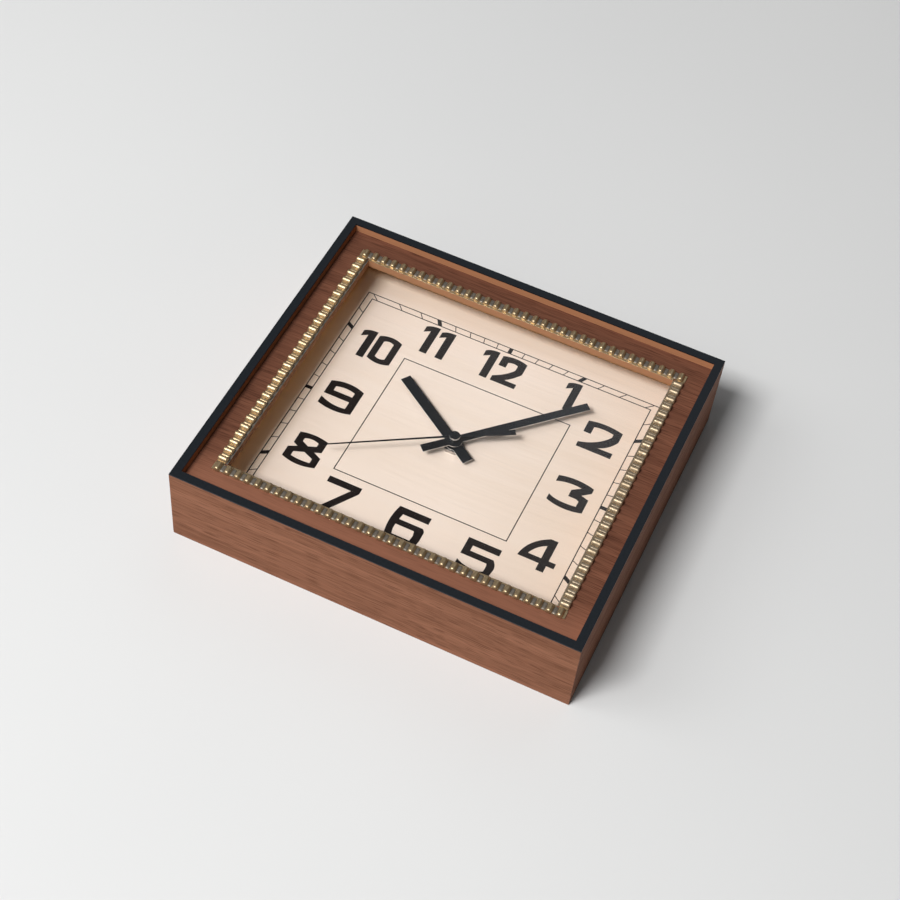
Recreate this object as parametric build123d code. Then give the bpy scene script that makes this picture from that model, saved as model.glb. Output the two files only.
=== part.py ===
"""Wooden desk clock with a quartz movement, lying on its back.

X points to the three on the dial, Y to the twelve and Z out of the dial. The origin is the middle
of the back. Lengths are in millimetres and angles in degrees.
"""
import os
from math import cos, pi, radians, sin

from build123d import *

# Case: four mitred boards, with a thin black band on each front edge
case_width = 220.0
case_height = 200.0
case_depth = 50.0
board_thickness = 4.5
edge_band_thickness = 0.8

# Front panel: one board with a window, set back from the rim
panel_recess = 5.0
panel_thickness = 4.2
panel_side_border = 16.2
panel_end_border = 17.0

# Brass moulding round the window: tall and low ribs by turns, across a thin rail
trim_setback = 0.8
trim_width = 5.2
trim_rail_height = 0.8
tall_rib_width = 3.2
tall_rib_height = 2.4
low_rib_height = 1.6
tall_rib_facets = 4
low_rib_facets = 2
rib_pitch = 5.6

# Pane behind the panel, and the battens that keep the dial away from it
glass_thickness = 2.0
glass_clearance = 0.4
spacer_height = 15.7
side_spacer_thickness = 8.0
end_spacer_thickness = 3.5

# Dial board, and the cleats glued into the case behind it
dial_thickness = 3.0
dial_clearance = 0.4
cleat_thickness = 6.0
cleat_height = 8.0

# Fits: glued or pressed pieces, running shafts, and the play at the end of a shaft
press_clearance = 0.02
running_clearance = 0.05
end_play = 0.1

# Bush and nut that clamp the movement to the dial board
bush_radius = 4.0
bush_stand = 2.5
bush_hole_clearance = 0.2
nut_across_flats = 10.0
nut_thickness = 2.2

# Movement housing: a front plate on a tub, with the battery bay along its lower edge
movement_height = 56.0
movement_depth = 16.0
housing_wall = 1.2
housing_corner_cut = 1.6
front_plate_thickness = 1.0
pivot_depth = 0.6
boss_width = 3.2

# Battery and its two contacts
battery_radius = 7.25
battery_length = 50.5
battery_clearance = 0.3
battery_nub_radius = 2.75
battery_nub_length = 1.3
contact_thickness = 0.4
contact_width = 9.0
contact_height = 11.0
contact_tongue_width = 3.0
contact_tongue_height = 6.0
contact_tongue_reach = 2.1
contact_gap = 0.1

# Wheel train: straight-sided teeth, given as shares of the module and of the tooth pitch
wheel_thickness = 0.8
layer_gap = 0.6
hour_wheel_gap = 0.8
pinion_overhang = 0.2
addendum_share = 0.9
dedendum_share = 1.15
tooth_tip_share = 0.18
tooth_root_share = 0.54

# Motion work: cannon pinion, minute wheel, hour wheel and the knob that sets the hands
cannon_teeth = 6
minute_wheel_teeth = 18
minute_pinion_teeth = 6
hour_wheel_teeth = 24
knob_pinion_teeth = 6
motion_distance = 7.5
minute_wheel_bearing = -20.0
knob_bearing = 20.0
hour_tube_radius = 2.5
minute_tube_radius = 1.75
minute_stud_radius = 0.5
knob_shaft_radius = 1.2
knob_radius = 5.0
knob_height = 2.2
knob_gap = 0.4
knob_ribs = 12
knob_rib_depth = 0.5

# Seconds train: rotor, intermediate wheel, seconds wheel, third wheel and centre wheel
rotor_pinion_teeth = 6
intermediate_wheel_teeth = 36
intermediate_pinion_teeth = 6
seconds_wheel_teeth = 30
seconds_pinion_teeth = 6
third_wheel_teeth = 45
third_pinion_teeth = 6
centre_wheel_teeth = 48
rotor_distance = 8.4
intermediate_distance = 9.0
third_distance = 10.2
third_bearing = 110.0
intermediate_bearing = 188.0
rotor_bearing = 150.0
arbor_radius = 0.5
rotor_arbor_radius = 0.4
post_radius = 0.5

# Stepping motor and circuit board
magnet_radius = 3.0
magnet_thickness = 2.6
magnet_gap = 1.6
stator_thickness = 0.8
stator_pad = 10.0
stator_leg_width = 2.4
stator_shelf_rise = 11.5
stator_reach = 21.0
core_rise = 20.9
rotor_air_gap = 0.4
coil_radius = 2.5
coil_sides = 12
coil_flange_width = 5.8
coil_flange_thickness = 0.8
coil_clearance = 0.1
board_length = 15.0
board_breadth = 14.0
board_height = 0.8
board_margin = 1.5

# Hands, with the height of each above the dial and the time that they show
hand_thickness = 0.5
hour_hand_length = 49.6
hour_hand_tail = 13.6
hour_hand_width = 5.8
hour_hub_radius = 4.6
hour_hand_rise = 3.3
hour_tube_stand = 0.6
minute_hand_length = 75.8
minute_hand_tail = 18.1
minute_hand_width = 4.6
minute_hub_radius = 4.4
minute_hand_rise = 5.7
minute_collet_radius = 2.1
minute_collet_drop = 0.5
minute_collet_stand = 2.4
second_hand_thickness = 0.35
second_hand_length = 67.8
second_hand_tail = 31.9
second_tip_width = 0.6
second_root_width = 1.1
second_tail_width = 3.2
second_hand_rise = 9.1
second_cap_radius = 2.75
second_cap_height = 1.1
second_cap_drop = 0.5
second_cap_roof = 0.4
hours_shown = 10
minutes_shown = 6.84
seconds_shown = 39.6

# Levels, from the front of the case to its back
inner_width = case_width - 2 * board_thickness
inner_height = case_height - 2 * board_thickness
window_width = inner_width - 2 * panel_side_border
window_height = inner_height - 2 * panel_end_border
board_top = case_depth - edge_band_thickness
panel_top = case_depth - panel_recess
panel_back = panel_top - panel_thickness
glass_back = panel_back - glass_thickness
dial_top = glass_back - spacer_height
dial_back = dial_top - dial_thickness
movement_top = dial_back
plate_back = movement_top - front_plate_thickness
movement_base = movement_top - movement_depth
chamber_floor = movement_base + housing_wall

# Modules, worked out from the tooth counts and the distances between the arbors
motion_module = 2 * motion_distance / (cannon_teeth + minute_wheel_teeth)
hour_module = 2 * motion_distance / (minute_pinion_teeth + hour_wheel_teeth)
knob_distance = motion_module * (minute_wheel_teeth + knob_pinion_teeth) / 2
rotor_module = 2 * rotor_distance / (rotor_pinion_teeth + intermediate_wheel_teeth)
seconds_module = 2 * intermediate_distance / (intermediate_pinion_teeth + seconds_wheel_teeth)
third_module = 2 * third_distance / (seconds_pinion_teeth + third_wheel_teeth)
centre_module = 2 * third_distance / (third_pinion_teeth + centre_wheel_teeth)


def polar(distance, bearing):
    """Vector of a length and a bearing, counted from the X axis."""
    return Vector(distance * cos(radians(bearing)), distance * sin(radians(bearing)), 0)


centre = Vector(0, 0, 0)
minute_wheel_place = polar(motion_distance, minute_wheel_bearing)
knob_place = minute_wheel_place + polar(knob_distance, knob_bearing)
third_place = polar(third_distance, third_bearing)
intermediate_place = polar(intermediate_distance, intermediate_bearing)
rotor_place = intermediate_place + polar(rotor_distance, rotor_bearing)


def layer_base(layer):
    """Underside of a wheel in one of the layers of the train, counted from the front plate."""
    first = plate_back - hour_wheel_gap - wheel_thickness
    return first - layer * (wheel_thickness + layer_gap)


hour_layer, minute_layer, centre_layer, third_layer, seconds_layer, intermediate_layer = range(6)


def block(x_low, x_high, y_low, y_high, z_low, z_high):
    """Box between six planes."""
    lowest = (Align.MIN, Align.MIN, Align.MIN)
    return Pos(x_low, y_low, z_low) * Box(x_high - x_low, y_high - y_low, z_high - z_low, align=lowest)


def disc(radius, z_low, z_high, place=centre):
    """Upright cylinder between two levels."""
    seated = (Align.CENTER, Align.CENTER, Align.MIN)
    return Pos(place.X, place.Y, z_low) * Cylinder(radius, z_high - z_low, align=seated)


def ring(radius, bore, z_low, z_high, place=centre):
    """Upright tube between two levels."""
    return disc(radius, z_low, z_high, place) - disc(bore, z_low, z_high, place)


def prism(points, z_low, z_high):
    """Upright solid over an outline of X and Y points."""
    outline = Wire.make_polygon([Vector(x, y, z_low) for x, y in points], close=True)
    return extrude(Face(outline), amount=z_high - z_low, dir=(0, 0, 1))


# Case boards and edge bands


def mitred_strip(side, z_low, z_high):
    """Strip along one side of the case, cut at 45 degrees where it meets its neighbours."""
    lengthwise = case_width if side in ("top", "bottom") else case_height
    across = case_height if side in ("top", "bottom") else case_width
    outer = lengthwise / 2
    inner = outer - board_thickness
    points = [(-outer, across / 2), (outer, across / 2),
              (inner, across / 2 - board_thickness), (-inner, across / 2 - board_thickness)]
    turns = {"top": 0, "left": 90, "bottom": 180, "right": 270}
    return Rot(0, 0, turns[side]) * prism(points, z_low, z_high)


# Brass mouldings


def rib_crown(middle, width, height, facets):
    """Points over the top of a rib, from its right foot to just short of its left foot."""
    rise = height - trim_rail_height
    steps = [pi * k / facets for k in range(facets)]
    return [(middle + width / 2 * cos(step), trim_rail_height + rise * sin(step)) for step in steps]


def trim_strip(length):
    """Moulding along X, resting on the panel, with a whole number of tall ribs."""
    count = round(length / rib_pitch)
    pitch = length / count
    low_rib_width = pitch - tall_rib_width
    outline = [(-length / 2, 0), (length / 2, 0), (length / 2, trim_rail_height)]
    for k in range(count):
        middle = (length - pitch) / 2 - k * pitch
        outline += rib_crown(middle, tall_rib_width, tall_rib_height, tall_rib_facets)
        if k < count - 1:
            outline += rib_crown(middle - pitch / 2, low_rib_width, low_rib_height, low_rib_facets)
    outline += [((pitch - length - tall_rib_width) / 2, trim_rail_height), (-length / 2, trim_rail_height)]
    face = make_face(Plane.XZ * Polyline(*outline, close=True))
    return extrude(face, amount=trim_width / 2, both=True)


# Wheels


def toothed_face(teeth, tip_radius, root_radius, phase=0):
    """Outline of a wheel with straight-sided teeth, one of them at the given angle."""
    step = 360 / teeth
    flank = [(root_radius, -tooth_root_share), (tip_radius, -tooth_tip_share),
             (tip_radius, tooth_tip_share), (root_radius, tooth_root_share)]
    corners = []
    for tooth in range(teeth):
        for radius, share in flank:
            corners.append(polar(radius, phase + (tooth + share / 2) * step))
    return Face(Wire.make_polygon(corners, close=True))


def wheel(teeth, module, z_low, z_high, place=centre, phase=0):
    """Toothed wheel or pinion between two levels."""
    tip_radius = module * (teeth / 2 + addendum_share)
    root_radius = module * (teeth / 2 - dedendum_share)
    flat = toothed_face(teeth, tip_radius, root_radius, phase)
    return Pos(place.X, place.Y, z_low) * extrude(flat, amount=z_high - z_low, dir=(0, 0, 1))


def meshed_phase(driver_teeth, driver_phase, driven_teeth, bearing):
    """Angle of the driven wheel at which its gap faces a tooth of the driver."""
    lead = driver_phase - bearing
    return bearing + 180 + 180 / driven_teeth - lead * driver_teeth / driven_teeth


parts = {}
for side in ("top", "bottom", "left", "right"):
    parts["case_" + side] = mitred_strip(side, 0, board_top)
    parts["edge_band_" + side] = mitred_strip(side, board_top, case_depth)

# Front panel with its window
panel = block(-inner_width / 2, inner_width / 2, -inner_height / 2, inner_height / 2, panel_back, panel_top)
parts["front_panel"] = panel - block(-window_width / 2, window_width / 2, -window_height / 2,
                                     window_height / 2, panel_back, panel_top)

# Mouldings: top and bottom run the full width, the sides stand between them
trim_inner_width = window_width + 2 * trim_setback
trim_inner_height = window_height + 2 * trim_setback
long_strip = trim_strip(trim_inner_width + 2 * trim_width)
short_strip = Rot(0, 0, 90) * trim_strip(trim_inner_height)
strip_y = (trim_inner_height + trim_width) / 2
strip_x = (trim_inner_width + trim_width) / 2
parts["trim_top"] = Pos(0, strip_y, panel_top) * long_strip
parts["trim_bottom"] = Pos(0, -strip_y, panel_top) * long_strip
parts["trim_left"] = Pos(-strip_x, 0, panel_top) * short_strip
parts["trim_right"] = Pos(strip_x, 0, panel_top) * short_strip

# Pane, held between the panel and the battens
glass_x = inner_width / 2 - glass_clearance
glass_y = inner_height / 2 - glass_clearance
parts["front_glass"] = block(-glass_x, glass_x, -glass_y, glass_y, glass_back, panel_back)

# Battens: the end ones run the full width, the side ones stand between them
end_y = inner_height / 2 - end_spacer_thickness
side_x = inner_width / 2 - side_spacer_thickness
parts["spacer_top"] = block(-inner_width / 2, inner_width / 2, end_y, inner_height / 2, dial_top, glass_back)
parts["spacer_bottom"] = block(-inner_width / 2, inner_width / 2, -inner_height / 2, -end_y, dial_top, glass_back)
parts["spacer_left"] = block(-inner_width / 2, -side_x, -end_y, end_y, dial_top, glass_back)
parts["spacer_right"] = block(side_x, inner_width / 2, -end_y, end_y, dial_top, glass_back)

# Dial board with its bush hole
dial_x = inner_width / 2 - dial_clearance
dial_y = inner_height / 2 - dial_clearance
bush_hole = bush_radius + bush_hole_clearance
dial = block(-dial_x, dial_x, -dial_y, dial_y, dial_back, dial_top)
parts["dial_board"] = dial - disc(bush_hole, dial_back, dial_top)

# Cleats behind the dial: the end ones run the full width, the side ones stand between them
cleat_base = dial_back - cleat_height
cleat_x = inner_width / 2 - cleat_thickness
cleat_y = inner_height / 2 - cleat_thickness
parts["cleat_top"] = block(-inner_width / 2, inner_width / 2, cleat_y, inner_height / 2, cleat_base, dial_back)
parts["cleat_bottom"] = block(-inner_width / 2, inner_width / 2, -inner_height / 2, -cleat_y, cleat_base, dial_back)
parts["cleat_left"] = block(-inner_width / 2, -cleat_x, -cleat_y, cleat_y, cleat_base, dial_back)
parts["cleat_right"] = block(cleat_x, inner_width / 2, -cleat_y, cleat_y, cleat_base, dial_back)

# Bush and nut
bush_top = dial_top + bush_stand
parts["threaded_bush"] = ring(bush_radius, hour_tube_radius + running_clearance, plate_back, bush_top)
hexagon = RegularPolygon(nut_across_flats / 2, 6, major_radius=False)
nut = Pos(0, 0, dial_top) * extrude(hexagon, amount=nut_thickness)
parts["bush_nut"] = nut - disc(bush_radius + press_clearance, dial_top, dial_top + nut_thickness)

# Movement: tub with the wheel chamber open to the front and the battery bay open to the back
half_width = (battery_length + contact_tongue_reach) / 2 + contact_thickness + contact_gap
half_height = movement_height / 2 - housing_wall
movement_width = 2 * (half_width + housing_wall)
housing_outline = chamfer(Rectangle(movement_width, movement_height).vertices(), housing_corner_cut)
bay_top = 2 * (battery_radius + battery_clearance) - half_height
chamber_low = bay_top + housing_wall
tub = Pos(0, 0, movement_base) * extrude(housing_outline, amount=plate_back - movement_base)
tub -= block(-half_width, half_width, chamber_low, half_height, chamber_floor, plate_back)
tub -= block(-half_width, half_width, -half_height, bay_top, movement_base, plate_back)

# Posts in the tub's floor that carry the intermediate wheel and the stator, and the lower pivot holes
magnet_base = chamber_floor + magnet_gap
stator_base = magnet_base + (magnet_thickness - stator_thickness) / 2
stator_top = stator_base + stator_thickness
intermediate_base = layer_base(intermediate_layer)
intermediate_top = layer_base(seconds_layer) + wheel_thickness + pinion_overhang
tub += Pos(intermediate_place) * block(-boss_width / 2, boss_width / 2, -boss_width / 2, boss_width / 2,
                                       chamber_floor, intermediate_base - end_play)
tub += disc(post_radius, intermediate_base - end_play, intermediate_top + end_play, intermediate_place)
pad_left = rotor_place.X - stator_pad / 2
pad_right = rotor_place.X + stator_pad / 2
pad_low = rotor_place.Y - stator_pad / 2
pad_high = rotor_place.Y + stator_pad / 2
tub += block(pad_left, pad_left + stator_leg_width, pad_low, pad_low + stator_leg_width, chamber_floor, stator_base)
tub += block(pad_right - stator_leg_width, pad_right, pad_high, pad_high + stator_leg_width,
             chamber_floor, stator_base)
pivot_floor = chamber_floor - pivot_depth
for place, radius in ((centre, arbor_radius), (third_place, arbor_radius), (rotor_place, rotor_arbor_radius)):
    tub -= disc(radius + running_clearance, pivot_floor, chamber_floor, place)
tub -= disc(knob_shaft_radius + running_clearance, movement_base, chamber_floor, knob_place)
parts["movement_rear"] = tub

# Front plate with the stud of the minute wheel and the upper pivot holes
plate = Pos(0, 0, plate_back) * extrude(housing_outline, amount=front_plate_thickness)
plate -= disc(bush_radius + press_clearance, plate_back, movement_top)
minute_base = layer_base(minute_layer)
plate += disc(minute_stud_radius, minute_base - end_play, plate_back, minute_wheel_place)
pivot_roof = plate_back + pivot_depth
for place, radius in ((third_place, arbor_radius), (rotor_place, rotor_arbor_radius)):
    plate -= disc(radius + running_clearance, plate_back, pivot_roof, place)
parts["movement_front"] = plate

# Battery with its nub towards the right-hand contact
battery_y = battery_radius + battery_clearance - half_height
battery_z = plate_back - end_play - battery_radius
contact_face = half_width - contact_thickness
battery_right = contact_face - contact_gap
battery_left = battery_right - battery_length


def lying_disc(radius, x_low, x_high):
    """Cylinder along the battery's axis."""
    upright = disc(radius, x_low, x_high)
    return Pos(0, battery_y, battery_z) * Rot(0, 90, 0) * upright


nub_base = battery_right - battery_nub_length
parts["battery"] = lying_disc(battery_radius, battery_left, nub_base) + lying_disc(
    battery_nub_radius, nub_base, battery_right)
contact_y_low = battery_y - contact_width / 2
contact_y_high = battery_y + contact_width / 2
contact_z_low = battery_z - contact_height / 2
contact_z_high = battery_z + contact_height / 2
parts["contact_positive"] = block(contact_face, half_width, contact_y_low, contact_y_high,
                                  contact_z_low, contact_z_high)
contact_plate = block(-half_width, -contact_face, contact_y_low, contact_y_high, contact_z_low, contact_z_high)
tongue_end = contact_tongue_reach - contact_face
tongue = [(-contact_face, contact_tongue_height / 2), (tongue_end, contact_thickness),
          (tongue_end, -contact_thickness), (-contact_face, -contact_tongue_height / 2)]
tongue_outline = Plane.XZ * Polyline(*tongue, close=True)
spring = extrude(make_face(tongue_outline), amount=contact_tongue_width / 2, both=True)
parts["contact_negative"] = contact_plate + Pos(0, battery_y, battery_z) * spring

# Motor: magnet on its pinion, stator plate round it, coil on the stator's core
rotor_top = intermediate_base + wheel_thickness + pinion_overhang
magnet_top = magnet_base + magnet_thickness
lower_pivot = disc(rotor_arbor_radius, pivot_floor + end_play, magnet_base, rotor_place)
parts["rotor"] = lower_pivot + disc(magnet_radius, magnet_base, magnet_top, rotor_place)
rotor_pinion = wheel(rotor_pinion_teeth, rotor_module, magnet_top, rotor_top, rotor_place)
parts["rotor_pinion"] = rotor_pinion + disc(rotor_arbor_radius, rotor_top, pivot_roof - end_play, rotor_place)

core_low = rotor_place.Y + core_rise - stator_leg_width / 2
core_high = rotor_place.Y + core_rise + stator_leg_width / 2
shelf_low = rotor_place.Y + stator_shelf_rise - stator_leg_width / 2
shelf_high = rotor_place.Y + stator_shelf_rise + stator_leg_width / 2
far_right = rotor_place.X + stator_reach
stator = block(pad_left, pad_right, pad_low, pad_high, stator_base, stator_top)
stator += block(pad_left, pad_left + stator_leg_width, pad_high, core_high, stator_base, stator_top)
stator += block(pad_right - stator_leg_width, pad_right, pad_high, shelf_high, stator_base, stator_top)
stator += block(pad_right, far_right, shelf_low, shelf_high, stator_base, stator_top)
stator += block(far_right - stator_leg_width, far_right, shelf_high, core_high, stator_base, stator_top)
stator += block(pad_left + stator_leg_width, far_right - stator_leg_width, core_low, core_high,
                stator_base, stator_top)
parts["stator"] = stator - disc(magnet_radius + rotor_air_gap, stator_base, stator_top, rotor_place)

coil_left = pad_left + stator_leg_width + coil_clearance
coil_right = far_right - stator_leg_width - coil_clearance
core_z = (stator_base + stator_top) / 2
core_y = rotor_place.Y + core_rise
winding = extrude(RegularPolygon(coil_radius, coil_sides), amount=coil_right - coil_left)
coil = Pos(coil_left, core_y, core_z) * Rot(0, 90, 0) * winding
flange_half = coil_flange_width / 2
for flange_left in (coil_left, coil_right - coil_flange_thickness):
    coil += block(flange_left, flange_left + coil_flange_thickness, core_y - flange_half, core_y + flange_half,
                  core_z - flange_half, core_z + flange_half)
parts["coil"] = coil - block(coil_left, coil_right, core_low - coil_clearance, core_high + coil_clearance,
                             stator_base - coil_clearance, stator_top + coil_clearance)

board_right = half_width - board_margin
board_high = half_height - board_margin
parts["circuit_board"] = block(board_right - board_length, board_right, board_high - board_breadth, board_high,
                               chamber_floor, chamber_floor + board_height)

# Seconds train, from the rotor to the centre wheel that slips on the minute tube
intermediate_phase = meshed_phase(rotor_pinion_teeth, 0, intermediate_wheel_teeth, rotor_bearing + 180)
intermediate = wheel(intermediate_wheel_teeth, rotor_module, intermediate_base,
                     intermediate_base + wheel_thickness, intermediate_place, intermediate_phase)
intermediate += wheel(intermediate_pinion_teeth, seconds_module, intermediate_base + wheel_thickness,
                      intermediate_top, intermediate_place)
parts["intermediate_wheel"] = intermediate - disc(post_radius + running_clearance, intermediate_base,
                                                  intermediate_top, intermediate_place)

seconds_base = layer_base(seconds_layer)
seconds_top = layer_base(third_layer) + wheel_thickness + pinion_overhang
seconds_phase = meshed_phase(intermediate_pinion_teeth, 0, seconds_wheel_teeth, intermediate_bearing + 180)
second_hand_top = dial_top + second_hand_rise
second_hand_base = second_hand_top - second_hand_thickness
second_cap_base = second_hand_top - second_cap_drop
second_cap_top = second_cap_base + second_cap_height
seconds_arbor_top = second_cap_top - second_cap_roof
seconds_wheel = wheel(seconds_wheel_teeth, seconds_module, seconds_base, seconds_base + wheel_thickness,
                      centre, seconds_phase)
seconds_wheel += wheel(seconds_pinion_teeth, third_module, seconds_base + wheel_thickness, seconds_top)
seconds_wheel += disc(arbor_radius, pivot_floor + end_play, seconds_base)
parts["seconds_wheel"] = seconds_wheel + disc(arbor_radius, seconds_top, seconds_arbor_top)

third_base = layer_base(third_layer)
third_top = layer_base(centre_layer) + wheel_thickness + pinion_overhang
third_phase = meshed_phase(seconds_pinion_teeth, 0, third_wheel_teeth, third_bearing)
third_wheel = wheel(third_wheel_teeth, third_module, third_base, third_base + wheel_thickness,
                    third_place, third_phase)
third_wheel += wheel(third_pinion_teeth, centre_module, third_base + wheel_thickness, third_top, third_place)
third_wheel += disc(arbor_radius, pivot_floor + end_play, third_base, third_place)
parts["third_wheel"] = third_wheel + disc(arbor_radius, third_top, pivot_roof - end_play, third_place)

centre_base = layer_base(centre_layer)
centre_phase = meshed_phase(third_pinion_teeth, 0, centre_wheel_teeth, third_bearing + 180)
centre_wheel = wheel(centre_wheel_teeth, centre_module, centre_base, centre_base + wheel_thickness,
                     centre, centre_phase)
parts["centre_wheel"] = centre_wheel - disc(minute_tube_radius + running_clearance, centre_base,
                                            centre_base + wheel_thickness)

# Motion work, from the cannon pinion to the hour wheel, and the setting knob
cannon_base = minute_base - pinion_overhang
cannon_top = minute_base + wheel_thickness + pinion_overhang
tube_base = centre_base - pinion_overhang
minute_hand_top = dial_top + minute_hand_rise
minute_hand_base = minute_hand_top - hand_thickness
minute_collet_top = minute_hand_top + minute_collet_stand
cannon = wheel(cannon_teeth, motion_module, cannon_base, cannon_top)
cannon += disc(minute_tube_radius, tube_base, cannon_base)
cannon += disc(minute_tube_radius, cannon_top, minute_collet_top)
parts["cannon_pinion"] = cannon - disc(arbor_radius + running_clearance, tube_base, minute_collet_top)

minute_wheel_phase = meshed_phase(cannon_teeth, 0, minute_wheel_teeth, minute_wheel_bearing)
minute_pinion_top = layer_base(hour_layer) + wheel_thickness + pinion_overhang
minute_wheel = wheel(minute_wheel_teeth, motion_module, minute_base, minute_base + wheel_thickness,
                     minute_wheel_place, minute_wheel_phase)
minute_wheel += wheel(minute_pinion_teeth, hour_module, minute_base + wheel_thickness, minute_pinion_top,
                      minute_wheel_place)
parts["minute_wheel"] = minute_wheel - disc(minute_stud_radius + running_clearance, minute_base,
                                            minute_pinion_top, minute_wheel_place)

hour_base = layer_base(hour_layer)
hour_phase = meshed_phase(minute_pinion_teeth, 0, hour_wheel_teeth, minute_wheel_bearing + 180)
hour_hand_top = dial_top + hour_hand_rise
hour_hand_base = hour_hand_top - hand_thickness
hour_tube_top = hour_hand_top + hour_tube_stand
hour_wheel = wheel(hour_wheel_teeth, hour_module, hour_base, hour_base + wheel_thickness, centre, hour_phase)
hour_wheel += disc(hour_tube_radius, hour_base + wheel_thickness, hour_tube_top)
parts["hour_wheel"] = hour_wheel - disc(minute_tube_radius + running_clearance, hour_base, hour_tube_top)

knob_phase = meshed_phase(minute_wheel_teeth, minute_wheel_phase, knob_pinion_teeth, knob_bearing)
knob_top = movement_base - knob_gap
knob_base = knob_top - knob_height
knob_face = toothed_face(knob_ribs, knob_radius, knob_radius - knob_rib_depth)
knob = Pos(knob_place.X, knob_place.Y, knob_base) * extrude(knob_face, amount=knob_height, dir=(0, 0, 1))
knob += disc(knob_shaft_radius, knob_top, cannon_base, knob_place)
knob += wheel(knob_pinion_teeth, motion_module, cannon_base, cannon_top, knob_place, knob_phase)
parts["setting_knob"] = knob

# Hands, drawn at twelve and turned to the time shown
second_angle = 6 * seconds_shown
minute_angle = 6 * (minutes_shown + seconds_shown / 60)
hour_angle = 30 * (hours_shown + minute_angle / 360)


def bar_hand(width, length, tail, hub_radius, hole_radius, z_low, angle):
    """Parallel black hand with a round hub."""
    outline = [(-width / 2, -tail), (width / 2, -tail), (width / 2, length), (-width / 2, length)]
    z_high = z_low + hand_thickness
    hand = prism(outline, z_low, z_high) + disc(hub_radius, z_low, z_high)
    return Rot(0, 0, -angle) * (hand - disc(hole_radius, z_low, z_high))


parts["hour_hand"] = bar_hand(hour_hand_width, hour_hand_length, hour_hand_tail, hour_hub_radius,
                              hour_tube_radius + press_clearance, hour_hand_base, hour_angle)
parts["minute_hand"] = bar_hand(minute_hand_width, minute_hand_length, minute_hand_tail, minute_hub_radius,
                                minute_collet_radius + press_clearance, minute_hand_base, minute_angle)
parts["minute_collet"] = ring(minute_collet_radius, minute_tube_radius + press_clearance,
                              minute_hand_base - minute_collet_drop, minute_collet_top)

needle = [(-second_tip_width / 2, second_hand_length), (-second_root_width / 2, 0),
          (-second_tail_width / 2, -second_hand_tail), (second_tail_width / 2, -second_hand_tail),
          (second_root_width / 2, 0), (second_tip_width / 2, second_hand_length)]
second_hand = prism(needle, second_hand_base, second_hand_top)
second_hand += disc(second_cap_radius, second_cap_base, second_cap_top)
second_hand -= disc(arbor_radius + press_clearance, second_cap_base, seconds_arbor_top)
parts["second_hand"] = Rot(0, 0, -second_angle) * second_hand

os.makedirs("parts", exist_ok=True)
for name, shape in parts.items():
    export_step(shape, "parts/" + name + ".step")
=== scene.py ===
"""Walnut desk clock lying on its back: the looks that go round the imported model.

X points to the three on the dial, Y to the twelve and Z out of the dial, in metres.
"""
from math import pi

import bmesh
import bpy
from mathutils import Matrix, Vector


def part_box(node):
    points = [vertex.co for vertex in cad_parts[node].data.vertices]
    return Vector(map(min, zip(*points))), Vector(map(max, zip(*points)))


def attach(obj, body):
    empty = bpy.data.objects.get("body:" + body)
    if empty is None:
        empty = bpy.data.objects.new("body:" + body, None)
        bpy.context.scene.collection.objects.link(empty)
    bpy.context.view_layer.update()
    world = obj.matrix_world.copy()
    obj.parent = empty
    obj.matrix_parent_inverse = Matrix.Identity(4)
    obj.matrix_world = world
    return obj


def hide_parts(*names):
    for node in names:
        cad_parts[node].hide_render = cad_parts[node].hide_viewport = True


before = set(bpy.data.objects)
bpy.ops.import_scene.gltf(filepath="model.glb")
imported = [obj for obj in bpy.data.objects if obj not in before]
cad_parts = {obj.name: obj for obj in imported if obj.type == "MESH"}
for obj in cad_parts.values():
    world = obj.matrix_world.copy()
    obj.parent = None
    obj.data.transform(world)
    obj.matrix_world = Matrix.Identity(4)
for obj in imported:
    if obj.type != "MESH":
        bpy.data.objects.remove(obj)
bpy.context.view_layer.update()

# Case boards
# Four walnut-veneered boards, mitred and glued at the corners. The veneer runs along each board,
# with fine straight fibres, short dark pores and an oiled satin finish; the inner faces are bare.


def fill(tree, made, inputs):
    """Sets the inputs of a node: a socket is linked, and any other value is set."""
    for key, value in inputs.items():
        if isinstance(value, bpy.types.NodeSocket):
            tree.links.new(value, made.inputs[key])
        else:
            made.inputs[key].default_value = value


def node(tree, kind, inputs=None, **settings):
    """Adds a node with its settings and inputs."""
    made = tree.nodes.new(kind)
    for name, value in settings.items():
        setattr(made, name, value)
    fill(tree, made, inputs or {})
    return made


def start_material(name):
    """Empty material with its own coordinates and a Principled surface."""
    material = bpy.data.materials.new(name)
    material.use_nodes = True
    tree = material.node_tree
    tree.nodes.clear()
    place = node(tree, "ShaderNodeTexCoord").outputs["Object"]
    surface = node(tree, "ShaderNodeBsdfPrincipled")
    node(tree, "ShaderNodeOutputMaterial", {"Surface": surface.outputs["BSDF"]})
    return material, tree, place, surface


def start_group(name, inputs, outputs):
    """Empty shader group with named sockets."""
    group = bpy.data.node_groups.new(name, "ShaderNodeTree")
    for label, kind in inputs.items():
        group.interface.new_socket(label, in_out="INPUT", socket_type="NodeSocket" + kind)
    for label, kind in outputs.items():
        group.interface.new_socket(label, in_out="OUTPUT", socket_type="NodeSocket" + kind)
    return group, node(group, "NodeGroupInput").outputs


def noise(tree, place, scale, detail):
    """Even noise, the same along every way."""
    inputs = {"Vector": place, "Scale": scale, "Detail": detail}
    return node(tree, "ShaderNodeTexNoise", inputs).outputs["Fac"]


def stretched_noise(tree, place, stretch, detail):
    """Noise drawn out along the grain."""
    mapped = node(tree, "ShaderNodeMapping", {"Vector": place, "Scale": stretch}).outputs["Vector"]
    return noise(tree, mapped, 1.0, detail)


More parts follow.
